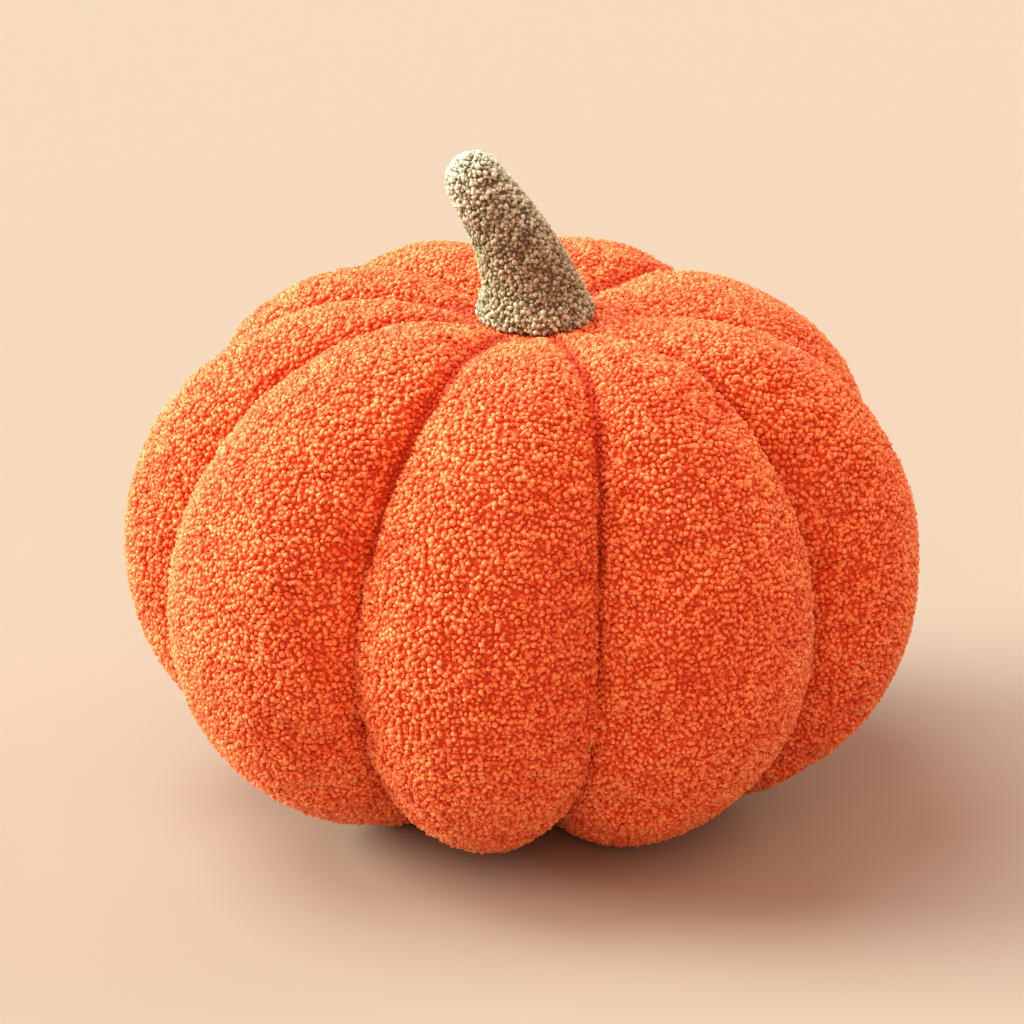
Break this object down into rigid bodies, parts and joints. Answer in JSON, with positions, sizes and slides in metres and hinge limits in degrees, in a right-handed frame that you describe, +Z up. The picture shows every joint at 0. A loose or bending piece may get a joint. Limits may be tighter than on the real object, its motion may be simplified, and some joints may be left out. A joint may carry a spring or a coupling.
{
  "type": "pumpkin cushion",
  "caption": "Round filled cushion shaped as a ribbed pumpkin in orange curly pile cloth, with a dimple at the top and a curved grey-green pile stem sewn on.",
  "frame": {"origin": "middle of the width and depth, on the plane the cushion stands on", "axes": "+X to the right as seen from the front, where the cushion is widest; +Y to the back, so the front faces -Y; +Z up, with the stem"},
  "size_m": [0.3502, 0.3194, 0.3051],
  "materials": {
    "body_pile": "matte orange curly pile",
    "stem_pile": "matte grey-green curly pile"
  },
  "bodies": {
    "root": {"cushion": "body_pile", "stem": "stem_pile"}
  },
  "joints": []
}
